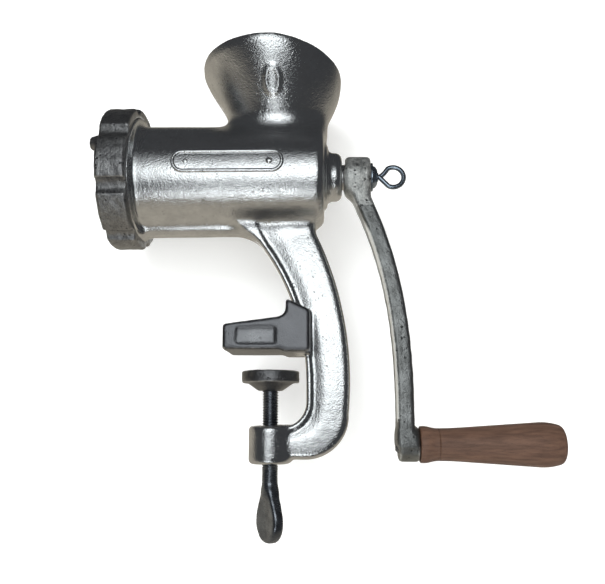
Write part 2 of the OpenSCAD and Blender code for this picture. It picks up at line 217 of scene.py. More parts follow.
world = bpy.data.worlds.new("air")
scene.world = world
world.use_nodes = True
air = world.node_tree
lean = add(air, "ShaderNodeVectorMath", {"operation": "DOT_PRODUCT"}, i1=TOWARDS_PAPER,
           i0=add(air, "ShaderNodeTexCoord").outputs["Generated"])
room = blend_colour(air, spread(air, lean.outputs["Value"], 0.0, FULL_AT, kind="SMOOTHSTEP"), ROOM_DARK,
                    ROOM_LIGHT)
mirror_ray = add(air, "ShaderNodeLightPath").outputs["Is Glossy Ray"]
background = air.nodes["Background"]
background.inputs["Strength"].default_value = AIR_STRENGTH
air.links.new(blend_colour(air, mirror_ray, PLAIN_AIR, room), background.inputs["Color"])
print("stage ready, sheet at y =", round(SHEET_Y, 3), "m")

# %% [markdown]
# Cast iron takes its skin from the sand of the mould: a fine grain, slow blotches and a few pinholes.
# The same skin is on the body, the ring nut, the disc and the crank, only coarser or finer. So it is one
# shader group with named inputs, and each material places it with its own values. The group gives
# heights and masks only. The metal shader itself stays in each material.

# %% The sand skin group
COARSE_SHARE, HOLE_SHARE = 0.32, 0.42
BLOTCH_SCALE, HOLE_PATCH_SCALE = 95.0, 210.0


def new_group(name, inputs, outputs, kind="ShaderNodeTree"):
    group = bpy.data.node_groups.new(name, kind)
    for label, socket_type, value in inputs:
        socket = group.interface.new_socket(label, in_out="INPUT", socket_type=socket_type)
        if value is not None:
            socket.default_value = value
    for label, socket_type in outputs:
        group.interface.new_socket(label, in_out="OUTPUT", socket_type=socket_type)
    return group, group.nodes.new("NodeGroupInput"), group.nodes.new("NodeGroupOutput")


def math_node(tree, operation, a, b=0.0):
    return add(tree, "ShaderNodeMath", {"operation": operation}, i0=a, i1=b).outputs[0]


def noise(tree, vector, scale, detail=4.0, roughness=0.55):
    return add(tree, "ShaderNodeTexNoise", None, Vector=vector, Scale=scale, Detail=detail,
               Roughness=roughness).outputs["Fac"]


sand_skin, given, result = new_group(
    "sand_skin",
    [("Vector", "NodeSocketVector", None), ("Grain", "NodeSocketFloat", 900.0),
     ("Pinholes", "NodeSocketFloat", 0.3)],
    [("Height", "NodeSocketFloat"), ("Blotch", "NodeSocketFloat"), ("Pit", "NodeSocketFloat")])
place = given.outputs["Vector"]
fine = noise(sand_skin, place, given.outputs["Grain"], 3.0, 0.6)
coarse = noise(sand_skin, place, math_node(sand_skin, "MULTIPLY", given.outputs["Grain"], COARSE_SHARE),
               3.0, 0.5)
blotch = noise(sand_skin, place, BLOTCH_SCALE, 4.0, 0.62)
cells = add(sand_skin, "ShaderNodeTexVoronoi", None, Vector=place,
            Scale=math_node(sand_skin, "MULTIPLY", given.outputs["Grain"], HOLE_SHARE)).outputs["Distance"]
hole = spread(sand_skin, cells, 0.10, 0.30, 1.0, 0.0)
where = spread(sand_skin, noise(sand_skin, place, HOLE_PATCH_SCALE, 2.0), 0.50, 0.62)
pit = math_node(sand_skin, "MULTIPLY", math_node(sand_skin, "MULTIPLY", hole, where),
                given.outputs["Pinholes"])
bumps = math_node(sand_skin, "ADD", math_node(sand_skin, "MULTIPLY", fine, 0.6),
                  math_node(sand_skin, "MULTIPLY", coarse, 0.4))
sand_skin.links.new(math_node(sand_skin, "SUBTRACT", bumps, pit), result.inputs["Height"])
sand_skin.links.new(blotch, result.inputs["Blotch"])
sand_skin.links.new(pit, result.inputs["Pit"])
print("sand skin group has", len(sand_skin.nodes), "nodes")

# %% [markdown]
# A cast metal finish is the skin group wired into one metal shader: blotches shift the colour and the
# roughness, pinholes darken it, and the height drives a Bump node. Two attributes come from the mesh.
# The first is high on outside corners, where handling brightens the metal; on the crank it also carries
# a painted highlight and a lighter hub. The second colours the jaw's sides and seat dark grey and makes
# them rougher. The crank's marked places are made pale and partly non-metallic, which keeps the painted
# highlight bright from every side.

# %% Cast metal finishes


def new_material(name):
    material = bpy.data.materials.new(name)
    material.use_nodes = True
    return material, material.node_tree, material.node_tree.nodes["Principled BSDF"]


def object_place(tree):
    return add(tree, "ShaderNodeTexCoord").outputs["Object"]


def attribute(tree, name):
    return add(tree, "ShaderNodeAttribute", {"attribute_name": name}).outputs["Fac"]


def cast_metal(name, light, dark, rough, grain, pinholes, depth, wear_and_highlight_colour, dull_colour=None,
               matte_share=0.0):
    material, tree, metal = new_material(name)
    skin = add(tree, "ShaderNodeGroup", {"node_tree": sand_skin}, Vector=object_place(tree),
               Grain=grain, Pinholes=pinholes)
    blotch = spread(tree, skin.outputs["Blotch"], 0.36, 0.66)
    colour = blend_colour(tree, blotch, light, dark)
    roughness = spread(tree, skin.outputs["Blotch"], 0.35, 0.65, rough[0], rough[1])
    if dull_colour:
        dull = attribute(tree, "dull")
        colour = blend_colour(tree, dull, colour, dull_colour)
        roughness = math_node(tree, "ADD", roughness, math_node(tree, "MULTIPLY", dull, 0.16))
    wear_and_highlight = spread(tree, math_node(tree, "ADD", attribute(tree, "wear_and_highlight"),
                                  math_node(tree, "MULTIPLY", skin.outputs["Height"], 0.5)), 0.62, 0.95)
    colour = blend_colour(tree, wear_and_highlight, colour, wear_and_highlight_colour)
    colour = blend_colour(tree, skin.outputs["Pit"], colour, tuple(0.35 * c for c in dark))
    tree.links.new(colour, metal.inputs["Base Color"])
    tree.links.new(roughness, metal.inputs["Roughness"])
    tree.links.new(spread(tree, wear_and_highlight, 0.0, 1.0, 1.0, 1.0 - matte_share), metal.inputs["Metallic"])
    bump = add(tree, "ShaderNodeBump", None, Strength=1.0, Distance=depth, Height=skin.outputs["Height"])
    tree.links.new(bump.outputs["Normal"], metal.inputs["Normal"])
    return material


tinned_iron = cast_metal("tinned_iron", light=(0.78, 0.79, 0.795), dark=(0.66, 0.665, 0.67),
                         rough=(0.12, 0.18), grain=1080.0, pinholes=0.30, depth=0.00027,
                         wear_and_highlight_colour=(0.90, 0.90, 0.90), dull_colour=(0.15, 0.152, 0.16))
dark_casting = cast_metal("dark_casting", light=(0.27, 0.27, 0.275), dark=(0.17, 0.17, 0.175),
                          rough=(0.30, 0.42), grain=900.0, pinholes=0.6, depth=0.00048,
                          wear_and_highlight_colour=(0.60, 0.60, 0.59))
# On the crank the pale colour and the lost mirror of the worn mark also paint the highlight strip on the
# arm.
crank_casting = cast_metal("crank_casting", light=(0.36, 0.37, 0.365), dark=(0.24, 0.245, 0.24),
                           rough=(0.34, 0.44), grain=850.0, pinholes=0.7, depth=0.00055,
                           wear_and_highlight_colour=(0.80, 0.80, 0.76), matte_share=0.6)
print("cast finishes:", tinned_iron.name, dark_casting.name, crank_casting.name)

# %% [markdown]
# The small parts are turned from bar: the knife and plate are ground bright, the eye screw is zinc
# plated, the clamp screw is dark and oiled. Turning leaves fine rings around the part, so the grain is a
# noise that is squeezed along the part's axis. The grip is stained hardwood, with streaks along its
# length, and the thrust washer is pressed fibre.

# %% Turned metal, fibre and wood
TURNING_DEPTH = 0.00003


def turned_metal(name, light, dark, rough, squeeze):
    material, tree, metal = new_material(name)
    streaks = add(tree, "ShaderNodeMapping", None, Vector=object_place(tree))
    streaks.inputs["Scale"].default_value = squeeze
    fine = noise(tree, streaks.outputs[0], 60.0, 4.0, 0.65)
    cloud = noise(tree, object_place(tree), 160.0, 3.0)
    colour = blend_colour(tree, spread(tree, cloud, 0.35, 0.68), light, dark)
    tree.links.new(colour, metal.inputs["Base Color"])
    tree.links.new(spread(tree, fine, 0.3, 0.7, rough[0], rough[1]), metal.inputs["Roughness"])
    metal.inputs["Metallic"].default_value = 1.0
    bump = add(tree, "ShaderNodeBump", None, Strength=0.6, Distance=TURNING_DEPTH, Height=fine)
    tree.links.new(bump.outputs["Normal"], metal.inputs["Normal"])
    return material


tool_steel = turned_metal("tool_steel", light=(0.62, 0.62, 0.62), dark=(0.45, 0.45, 0.45),
                          rough=(0.18, 0.34), squeeze=(30, 4, 4))
zinc_steel = turned_metal("zinc_steel", light=(0.40, 0.46, 0.53), dark=(0.24, 0.29, 0.35),
                          rough=(0.16, 0.30), squeeze=(20, 6, 6))
screw_steel = turned_metal("screw_steel", light=(0.27, 0.29, 0.32), dark=(0.13, 0.14, 0.16),
                           rough=(0.20, 0.34), squeeze=(5, 5, 25))


def soft_material(name, light, dark, squeeze, scale, rough, depth, freckles=0.0):
    material, tree, shader = new_material(name)
    streaks = add(tree, "ShaderNodeMapping", None, Vector=object_place(tree))
    streaks.inputs["Scale"].default_value = squeeze
    grain = noise(tree, streaks.outputs[0], scale, 6.0, 0.6)
    pores = noise(tree, streaks.outputs[0], scale * 5, 3.0, 0.6)
    patch = noise(tree, object_place(tree), 38.0, 3.0)
    colour = blend_colour(tree, spread(tree, grain, 0.36, 0.64), light, dark)
    colour = blend_colour(tree, spread(tree, patch, 0.45, 0.7, 0.0, 0.45), colour, dark)
    colour = blend_colour(tree, spread(tree, pores, 0.60, 0.72, 0.0, freckles), colour,
                          tuple(0.3 * c for c in dark))
    tree.links.new(colour, shader.inputs["Base Color"])
    tree.links.new(spread(tree, grain, 0.3, 0.7, rough[0], rough[1]), shader.inputs["Roughness"])
    bump = add(tree, "ShaderNodeBump", None, Strength=0.5, Distance=depth, Height=pores)
    tree.links.new(bump.outputs["Normal"], shader.inputs["Normal"])
    return material


turned_wood = soft_material("turned_wood", light=(0.145, 0.076, 0.048), dark=(0.085, 0.043, 0.027),
                            squeeze=(5, 42, 42), scale=14.0, rough=(0.42, 0.60), depth=0.00008,
                            freckles=0.6)
fibre = soft_material("fibre", light=(0.30, 0.14, 0.08), dark=(0.20, 0.09, 0.05), squeeze=(20, 20, 20),
                      scale=30.0, rough=(0.6, 0.8), depth=0.00005)
MATERIALS = {"tinned_iron": tinned_iron, "dark_casting": dark_casting, "crank_casting": crank_casting,
             "tool_steel": tool_steel, "zinc_steel": zinc_steel, "screw_steel": screw_steel,
             "turned_wood": turned_wood, "fibre": fibre}
print(len(MATERIALS), "finishes")

# %% [markdown]
# A casting has no sharp inside corners: wherever two shapes meet there is a fillet. Bevels on a boolean
# mesh can't make that evenly. It is simpler to describe the shape as a distance field, a function that
# says how far any point is from the surface, because two fields blend with a fillet of any radius. The
# surface is then drawn where the distance is zero. The steps are the ones of surface nets: find the grid
# cells that the surface crosses, put one vertex in each, and join the four cells around each crossed edge.

# %% From a distance field to a mesh
CORNERS = np.array([(i, j, k) for i in (0, 1) for j in (0, 1) for k in (0, 1)])
EDGES = [(a, b) for a in range(8) for b in range(a + 1, 8) if abs(CORNERS[a] - CORNERS[b]).sum() == 1]
COARSE = 4
PROBE = 0.05


def sampled(field, low, high, cell):
    blocks = np.ceil((high - low) / (COARSE * cell)).astype(int)
    axes = [low[k] + cell * np.arange(COARSE * blocks[k] + 1) for k in range(3)]
    rough = field(*np.meshgrid(*[a[::COARSE] for a in axes], indexing="ij"))
    around = np.stack([rough[i:i + blocks[0], j:j + blocks[1], k:k + blocks[2]] for i, j, k in CORNERS])
    close = abs(around).min(0) < 1.6 * COARSE * cell
    fine = np.kron(close, np.ones((COARSE,) * 3, bool))
    wanted = np.zeros([len(a) for a in axes], bool)
    for i, j, k in CORNERS:
        wanted[i:i + fine.shape[0], j:j + fine.shape[1], k:k + fine.shape[2]] |= fine
    values = np.pad(np.kron(around[0], np.ones((COARSE,) * 3)), [(0, 1)] * 3, "edge")
    i, j, k = np.nonzero(wanted)
    values[i, j, k] = field(axes[0][i], axes[1][j], axes[2][k])
    return values


def surface(field, low, high, cell):
    low, high = np.array(low, float) - 2.31 * cell, np.array(high, float) + 2 * cell
    values = sampled(field, low, high, cell)
    inside = values < 0
    n = np.array(values.shape) - 1
    count = sum(inside[i:i + n[0], j:j + n[1], k:k + n[2]].astype(np.int8) for i, j, k in CORNERS)
    cells = np.argwhere((count > 0) & (count < 8))
    index = np.full(n, -1)
    index[tuple(cells.T)] = np.arange(len(cells))
    corner = np.stack([values[tuple((cells + c).T)] for c in CORNERS])
    total, hits = np.zeros((len(cells), 3)), np.zeros(len(cells))
    for a, b in EDGES:
        crossed = (corner[a] < 0) != (corner[b] < 0)
        t = corner[a] / np.where(crossed, corner[a] - corner[b], 1)
        total += crossed[:, None] * (CORNERS[a] + t[:, None] * (CORNERS[b] - CORNERS[a]))
        hits += crossed
    points = settle(field, low + cell * (cells + total / hits[:, None]), cell)
    step = np.eye(3, dtype=int)
    quads = []
    for k in range(3):
        p, q = (k + 1) % 3, (k + 2) % 3
        first = inside.take(range(n[k]), axis=k)
        edge = np.argwhere(first != inside.take(range(1, n[k] + 1), axis=k))
        ring = [edge - step[p] - step[q], edge - step[q], edge, edge - step[p]]
        quad = np.stack([index[tuple(c.T)] for c in ring], 1)
        leaving = first[tuple(edge.T)]
        quads.append(np.where(leaving[:, None], quad, quad[:, ::-1]))
    return points, np.concatenate(quads)


def slope_at(field, points, here):
    return np.stack([(field(*(points + PROBE * e).T) - here) / PROBE for e in np.eye(3)], 1)


def settle(field, points, cell):
    for _ in range(3):
        here = field(*points.T)
        slope = slope_at(field, points, here)
        move = -slope * (here / np.maximum((slope ** 2).sum(1), 0.2))[:, None]
        length = np.linalg.norm(move, axis=1)
        points = points + move * np.minimum(1, 0.4 * cell / np.maximum(length, 1e-9))[:, None]
    return points


# %% [markdown]
# A few small functions are enough to draw with. Two fields are joined with a fillet, or only what both share
# is kept, with a rounded edge. A rod lies along the barrel's axis and an upright along the clamp screw, both
# with rounded ends. A ripple is the slight waviness of a sand mould, and a cubic is the usual curve of four
# points for flanks and arms.

# %% Shapes to draw with


def join(a, b, fillet):
    h = np.clip(0.5 + 0.5 * (b - a) / fillet, 0, 1)
    return b + (a - b) * h - fillet * h * (1 - h)


def keep(a, b, edge):
    return -join(-a, -b, edge)


def corner_of(a, b, edge):
    a, b = a + edge, b + edge
    return np.minimum(np.maximum(a, b), 0) + np.hypot(np.maximum(a, 0), np.maximum(b, 0)) - edge


def rod(x, y, z, x0, x1, radius, edge, axis=None):
    radial = np.hypot(y, z - (AXIS if axis is None else axis)) - radius
    return corner_of(radial, abs(x - (x0 + x1) / 2) - (x1 - x0) / 2, edge)


def upright(x, y, z, z0, z1, radius, edge):
    return corner_of(np.hypot(x, y) - radius, abs(z - (z0 + z1) / 2) - (z1 - z0) / 2, edge)


def ripple(x, y, z, size, length, seed):
    rng = np.random.default_rng(seed)
    total = 0
    for _ in range(5):
        turn = rng.normal(size=3)
        turn *= 2 * math.pi / (length * rng.uniform(0.7, 1.4) * np.linalg.norm(turn))
        total = total + np.sin(turn[0] * x + turn[1] * y + turn[2] * z + rng.uniform(0, 6.28))
    return size * total / 2.2


def cubic(p, t):
    return ((1 - t) ** 3)[:, None] * p[0] + (3 * t * (1 - t) ** 2)[:, None] * p[1] \
        + (3 * t ** 2 * (1 - t))[:, None] * p[2] + (t ** 3)[:, None] * p[3]


# %% [markdown]
# Every piece goes the same last steps: a plain mesh in metres with its place in the mesh, smooth faces that
# point outwards, one finish, and the frame body that it moves with. Meshes that come from curves or from
# rolled grids have their doubles merged first, so that they are closed.

# %% Making a piece


def recalculate(mesh):
    work = bmesh.new()
    work.from_mesh(mesh)
    bmesh.ops.remove_doubles(work, verts=work.verts, dist=1e-7)
    bmesh.ops.recalc_face_normals(work, faces=work.faces)
    work.to_mesh(mesh)
    work.free()


def plain_mesh(holder, name):
    mesh = bpy.data.meshes.new_from_object(holder.evaluated_get(bpy.context.evaluated_depsgraph_get()))
    bpy.data.objects.remove(holder)
    mesh.name = name
    return mesh


def finish_piece(name, mesh, body, slot, nodes=()):
    thing = bpy.data.objects.new(name, mesh)
    scene.collection.objects.link(thing)
    mesh.materials.clear()
    mesh.materials.append(MATERIALS[slot])
    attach(thing, body)
    if nodes:
        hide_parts(*nodes)
    print(name, "has", len(mesh.polygons), "faces")
    return thing


def piece(name, points, faces, body, slot, nodes=(), marks=None):
    mesh = bpy.data.meshes.new(name)
    mesh.from_pydata((np.asarray(points) * MM).tolist(), [], [list(map(int, f)) for f in faces])
    mesh.validate()
    mesh.polygons.foreach_set("use_smooth", [True] * len(mesh.polygons))
    for label, values in (marks or {}).items():
        layer = mesh.attributes.new(label, "FLOAT", "POINT")
        layer.data.foreach_set("value", np.asarray(values, np.float32))
    return finish_piece(name, mesh, body, slot, nodes)


def outside_corners(field, points, reach=1.2):
    slope = slope_at(field, points, field(*points.T))
    slope /= np.maximum(np.linalg.norm(slope, axis=1), 1e-6)[:, None]
    side = np.cross(slope, (0.31, 0.57, 0.76))
    side /= np.maximum(np.linalg.norm(side, axis=1), 1e-6)[:, None]
    other = np.cross(slope, side)
    drop = sum(field(*(points + reach * s * v).T) for v in (side, other) for s in (-1, 1)) / 4
    return np.clip(drop / reach * 2.4, 0, 1)


def cast_piece(name, field, low, high, cell, body, slot, nodes=(), dull=None, bright=None):
    points, faces = surface(field, low, high, cell)
    wear_and_highlight = outside_corners(field, points)
    marks = {"wear_and_highlight": wear_and_highlight if bright is None else np.maximum(wear_and_highlight, bright(*points.T))}
    if dull is not None:
        marks["dull"] = dull(*points.T)
    piece(name, points, faces, body, slot, nodes, marks)


# %% [markdown]
# The body is one casting. A tapering barrel carries a threaded collar in front and a round bearing boss
# behind. The hopper grows out of its top as a row of ovals whose front end climbs faster than the rear
# one. A keel runs under the barrel and turns down into the leg, as the flange on the leg's inner edge.
# The leg bends under the table as a hook, with the fixed jaw on its way and the screw's boss at its foot.

# %% Sizes of the body casting
FRONT_X, REAR_X = BODY_LOW[0], 31.0
COLLAR_BACK = FRONT_X + 13
BARREL_R, TAPER = PLATE_R - 0.7, 0.7
COLLAR_R = PLATE_R + 5
BORE_R = PLATE_R - 5
RIM_FRONT, RIM_REAR = AXIS + 67.8, AXIS + 62.3
RIM_CROWN, RIM_GAP = 3.0, 0.3
HOPPER_FOOT = AXIS + 16
FOOT_LOW, FOOT_TOP = BODY_LOW[2], BODY_LOW[2] + 20
THROAT_X = 21.0
BARREL_KEEL = AXIS - BARREL_R - 4.6
KEEL_X, KEEL_LONG, KEEL_HALF = -36, 41, 6.4
BEARING_END, BEARING_R, BEARING_ROOT_R, FOOT_R = 41.5, 14.4, 19, 12
HOPPER_WALL = 3.5
BEARING_HOLE_R, SCREW_HOLE_R = 7.7, 4.9
INNER_R, INNER_Z = 135, -18
BEND_R, BEND_Z = 14, -28
OUTER_R, OUTER_X, OUTER_Z = 195, -150, -15
HEEL_R, HEEL_X, HEEL_RISE = 24, 20, 2.5
CROWN_LOW, CROWN_RISE, CROWN_FLAT, CROWN_DROP, DROP_FROM = 5.5, 6.9, 8.3, 0.5, 0.55
FLANGE_HALF, FLANGE_DEPTH = 7.8, 2.4
JAW_X, JAW_LONG, JAW_WIDE, JAW_BACK, JAW_TOP, JAW_SLOPE = -2, 23, 21.9, -25.0, 14, 0.13
EAR_FRONT, EAR_REAR, EAR_TOP = 9.5, 22, 27.5
PANEL_X, PANEL_Z, PANEL_LONG, PANEL_TALL, PANEL_FACE = -6.7, 7.4, 10.8, 4.6, 21.0
NUMBER_X, NUMBER_Z = 2.5, AXIS + 45.5
print("barrel radius", round(BARREL_R, 1), "mm, collar radius", round(COLLAR_R, 1), "mm")

flank_t = np.linspace(0, 1, 40)
front_flank = cubic(np.array([(-19, HOPPER_FOOT), (-21, HOPPER_FOOT + 18), (-35.5, RIM_FRONT - 19),
                              (-41.4, RIM_FRONT - 5)]), flank_t[:-1] / flank_t[-2])
front_flank = np.append(front_flank, [(-41.8, RIM_FRONT)], 0)
rear_flank = cubic(np.array([(26, HOPPER_FOOT), (28, HOPPER_FOOT + 14), (42, RIM_REAR - 20.5),
                             (41.7, RIM_REAR)]), flank_t)
half_width = cubic(np.array([(20, 0), (23, 0), (38, 0), (47.7, 0)]), flank_t)[:, 0]
front_rise = (front_flank[:, 1] - HOPPER_FOOT) / (RIM_FRONT - HOPPER_FOOT)
rear_rise = (rear_flank[:, 1] - HOPPER_FOOT) / (RIM_REAR - HOPPER_FOOT)

# %% Fields of the hopper, the leg and the jaw


def hopper(x, y, z, wall):
    top = RIM_FRONT + (RIM_REAR - RIM_FRONT) * (x + 42) / 84 + RIM_CROWN * (y / 48) ** 2
    top = np.minimum(top, BODY_HIGH[2] - RIM_GAP)
    rise = np.clip((z - HOPPER_FOOT) / (top - HOPPER_FOOT), 0, 1)
    front = np.interp(rise, front_rise, front_flank[:, 0]) + wall
    rear = np.interp(rise, rear_rise, rear_flank[:, 0]) - wall
    wide = np.interp(rise, (front_rise + rear_rise) / 2, half_width) - wall
    middle, half = (front + rear) / 2, (rear - front) / 2
    k = np.hypot((x - middle) / half, y / wide)
    g = np.hypot((x - middle) / half ** 2, y / wide ** 2)
    return 0.88 * k * (k - 1) / np.maximum(g, 1e-4), z - top


def leg_depths(x, z):
    inner = np.where(z > INNER_Z, np.hypot(x - (THROAT_X - INNER_R), z - INNER_Z) - INNER_R, x - THROAT_X)
    bend = np.hypot(x - (THROAT_X - BEND_R), z - BEND_Z) - BEND_R
    inner = np.where(z < BEND_Z, np.where(x > THROAT_X - BEND_R, bend, FOOT_TOP - z), inner)
    outer = OUTER_R - np.hypot(x - OUTER_X, z - OUTER_Z)
    low = FOOT_LOW + HEEL_RISE
    heel = np.where(x > HEEL_X, HEEL_R - np.hypot(x - HEEL_X, z - (low + HEEL_R)), z - low)
    outer = np.where(z < low + HEEL_R, heel, outer)
    return inner, outer


def leg(x, y, z):
    inner, outer = leg_depths(x, z)
    share = inner / np.maximum(inner + outer, 1)
    crown = join(CROWN_LOW + CROWN_RISE * share, np.full_like(share, CROWN_FLAT), 0.8)
    crown = crown - CROWN_DROP * np.clip((share - DROP_FROM) / (1 - DROP_FROM), 0, 1) ** 2
    web = keep(keep(abs(y) - crown, -outer, 4.2), -inner, 1.5)
    flange = keep(keep(abs(y) - FLANGE_HALF, inner - FLANGE_DEPTH, 1.2), -inner, 0.8)
    both = join(web, flange, FLANGE_DEPTH)
    both = keep(both, z - (AXIS - 16), 1)
    return keep(both, -x - 26 + np.where(z < 0, 26, 0), 1)


def jaw(x, y, z):
    top = JAW_TOP + JAW_SLOPE * (x - JAW_BACK)
    slab = keep(keep(abs(x - JAW_X) - JAW_LONG, -z, 1.0), z - top, 1.6)
    ear = keep(keep(EAR_FRONT - x, x - EAR_REAR, 1.5), z - EAR_TOP - 0.5 * (11 - x), 2.5)
    block = keep(join(slab, keep(ear, -z, 1), 5), abs(y) - JAW_WIDE, 1.6)
    panel = keep(abs(x - PANEL_X) - PANEL_LONG, abs(z - PANEL_Z) - PANEL_TALL, 1.5)
    return keep(block, -keep(panel, PANEL_FACE - abs(y), 0.8), 0.8)


# %% Field of the whole body


def number_boss(x, y, z):
    across, up = x - NUMBER_X, z - NUMBER_Z
    oval = 1 - (across / 5.6) ** 2 - (up / 8.6) ** 2
    inner = 1 - (across / 3.4) ** 2 - (up / 6.2) ** 2
    raised = np.clip(oval * 1.6, 0, 1) - 0.75 * np.clip(inner * 1.6, 0, 1)
    return np.where(y < 0, 0.95 * raised, 0)


def barrel_radius(x):
    return BARREL_R + TAPER - 2 * TAPER * (x - COLLAR_BACK) / (REAR_X - COLLAR_BACK)


def body_field(x, y, z):
    shape = rod(x, y, z, COLLAR_BACK - 6, REAR_X, barrel_radius(x), 4.5)
    boss = join(rod(x, y, z, REAR_X - 4, BEARING_END, BEARING_R, 4.2),
                rod(x, y, z, REAR_X - 4, REAR_X + 2, BEARING_ROOT_R, 2), 3)
    shape = join(shape, boss, 2.0)
    shape = join(shape, rod(x, y, z, FRONT_X, COLLAR_BACK, COLLAR_R, 0.8), 3)
    side, above = hopper(x, y, z, 0)
    shape = join(shape, keep(keep(side, above, 1.3), AXIS + 4 - z, 1), 11)
    keel_half = KEEL_HALF - 0.3 * np.clip(x + 14, 0, 19)
    stretch = keep(abs(x - KEEL_X) - KEEL_LONG, z - AXIS, 1)
    keel = keep(keep(abs(y) - keel_half, BARREL_KEEL - z, 4.0), stretch, 1)
    shape = join(shape, keel, 7)
    shape = join(shape, leg(x, y, z), 8)
    shape = join(shape, jaw(x, y, z), 2.2)
    shape = join(shape, upright(x, y, z, FOOT_LOW, FOOT_TOP + 1, FOOT_R, 2.5), 3)
    shape = shape - number_boss(x, y, z) + ripple(x, y, z, 0.035, 14, 3)
    inside, _ = hopper(x, y, z, HOPPER_WALL)
    bore = rod(x, y, z, FRONT_X - 9, REAR_X - 5, BORE_R, 2)
    hollow = join(bore, keep(inside, AXIS - z, 1), 4)
    hollow = np.minimum(hollow, rod(x, y, z, FRONT_X - 9, PLATE_HIGH[0] + 0.3, PLATE_R + 0.2, 0.2))
    hollow = np.minimum(hollow, rod(x, y, z, REAR_X - 9, REAR_X + 20, BEARING_HOLE_R, 0.2))
    hollow = np.minimum(hollow, upright(x, y, z, FOOT_LOW - 9, FOOT_TOP + 9, SCREW_HOLE_R, 0.2))
    return keep(shape, -hollow, 1.1)


# %% The body casting


# Colours the jaw's sides and seat dark grey and rougher, a little less so in the panel's recess.
def darker_jaw_faces(x, y, z):
    jaw_side = np.clip((abs(y) - 10) / 3, 0, 1) * np.clip((34 - z) / 5, 0, 1) * np.clip((z + 3) / 2, 0, 1)
    seat = np.clip((17 - x) / 4, 0, 1) * np.clip((30 - z) / 4, 0, 1) * np.clip((z + 3) / 2, 0, 1)
    panel = (np.clip(1 - abs(x - PANEL_X) / 13, 0, 1) * np.clip(1 - abs(z - PANEL_Z) / 6, 0, 1)) ** 0.3
    recess = np.clip((21.6 - abs(y)) / 0.4, 0, 1) * (abs(y) > 20.5) * panel
    return np.clip(np.maximum(jaw_side, seat) - 0.12 * recess, 0, 1)


QUICK = 1.0
BODY_CELL = 1.15
BODY_REACH = (42, 48, 172)
cast_piece("grinder_body", body_field, BODY_LOW, BODY_REACH, BODY_CELL * QUICK, "frame", "tinned_iron",
           ["body_casting"], dull=darker_jaw_faces)

# %% [markdown]
# On the barrel's near side the real casting carries a raised mark. Here it is a plain one, a long border
# with round ends and two studs, so that it names nobody. A border that follows a curved surface is easiest
# as a wire: the path is a list of points on the barrel, a curve gives it a round section, and half of it
# stays buried in the metal.

# %% Wires made from a path


def wire(name, path, radius, body, slot, nodes=(), closed=False):
    curve = bpy.data.curves.new(name, "CURVE")
    curve.dimensions = "3D"
    curve.bevel_depth = radius * MM
    curve.bevel_resolution = 6
    curve.use_fill_caps = True
    spline = curve.splines.new("POLY")
    spline.points.add(len(path) - 1)
    spline.points.foreach_set("co", [c for p in path for c in (p[0] * MM, p[1] * MM, p[2] * MM, 1)])
    spline.use_cyclic_u = closed
    holder = bpy.data.objects.new(name + "_path", curve)
    scene.collection.objects.link(holder)
    mesh = plain_mesh(holder, name)
    recalculate(mesh)
    mesh.polygons.foreach_set("use_smooth", [True] * len(mesh.polygons))
    finish_piece(name, mesh, body, slot, nodes)


BADGE_X, BADGE_Z = -23.0, AXIS + 0.3
BADGE_LONG, BADGE_TALL = 25.0, 5.6
badge_path = []
for end in (1, -1):
    for a in np.linspace(-90, 90, 17):
        dx = end * (BADGE_LONG + BADGE_TALL * math.cos(math.radians(a)))
        dz = end * BADGE_TALL * math.sin(math.radians(a))
        x, z = BADGE_X + dx, BADGE_Z + dz
        badge_path.append((x, -math.sqrt(barrel_radius(x) ** 2 - (z - AXIS) ** 2) - 0.15, z))
wire("badge_border", badge_path, 1.1, "frame", "tinned_iron", closed=True)


def studs(x, y, z):
    side = abs(x - BADGE_X) - BADGE_LONG + 1.5
    return np.hypot(np.hypot(side, z - BADGE_Z), (y + BARREL_R - 0.9) * 1.4) - 2.2


cast_piece("badge_studs", studs, (BADGE_X - 30, -34, BADGE_Z - 4), (BADGE_X + 30, -26, BADGE_Z + 4), 0.45,
           "frame", "tinned_iron")

# %% [markdown]
# The ring nut screws onto the collar and holds the cutting plate. It is cast with lobes for the fingers.
# Round notches between the lobes repeat, so the field folds the angle around the ring into one lobe and
# cuts one notch: all eight come out alike. Hands polish the whole nut, so it is evenly half worn.

# %% The ring nut
RING_R = (RING_HIGH[2] - RING_LOW[2]) / 2
RING_DEEP = 17
RING_X = (RING_HIGH[0] - RING_DEEP, RING_HIGH[0])
LOBES, NOTCH_R = 8, 4.9
RING_BRIGHT = 0.44


def ring_field(x, y, z):
    radius = np.hypot(y, z - AXIS)
    middle = (RING_X[0] + RING_X[1]) / 2
    lobe = np.arctan2(z - AXIS, -y) * LOBES / (2 * math.pi)
    fold = (lobe - np.floor(lobe) - 0.5) * 2 * math.pi / LOBES
    disc = corner_of(radius - RING_R + 0.2, abs(x - middle) - RING_DEEP / 2, 1.8)
    notch = np.hypot(radius * np.cos(fold) - RING_R - 1.4, radius * np.sin(fold)) - NOTCH_R
    shape = keep(disc, -notch, 1.0)
    nub = corner_of(np.hypot(y + 0.86 * RING_R, z - AXIS - 0.21 * RING_R) - 3.9,
                    abs(x - RING_X[0]) - 3.7, 2.2)
    shape = join(shape, nub, 1.5) + ripple(x, y, z, 0.10, 7, 5)
    hollow = np.minimum(rod(x, y, z, RING_X[0] + 3.5, RING_X[1] + 9, COLLAR_R + 0.25, 0.4),
                        rod(x, y, z, RING_X[0] - 9, RING_X[1], PLATE_R - 3.5, 0.4))
    return keep(shape, -hollow, 1.0)


cast_piece("lobed_ring", ring_field, RING_LOW, RING_HIGH, 0.8 * QUICK, "ring", "dark_casting", ["ring_nut"],
           bright=lambda x, y, z: RING_BRIGHT)
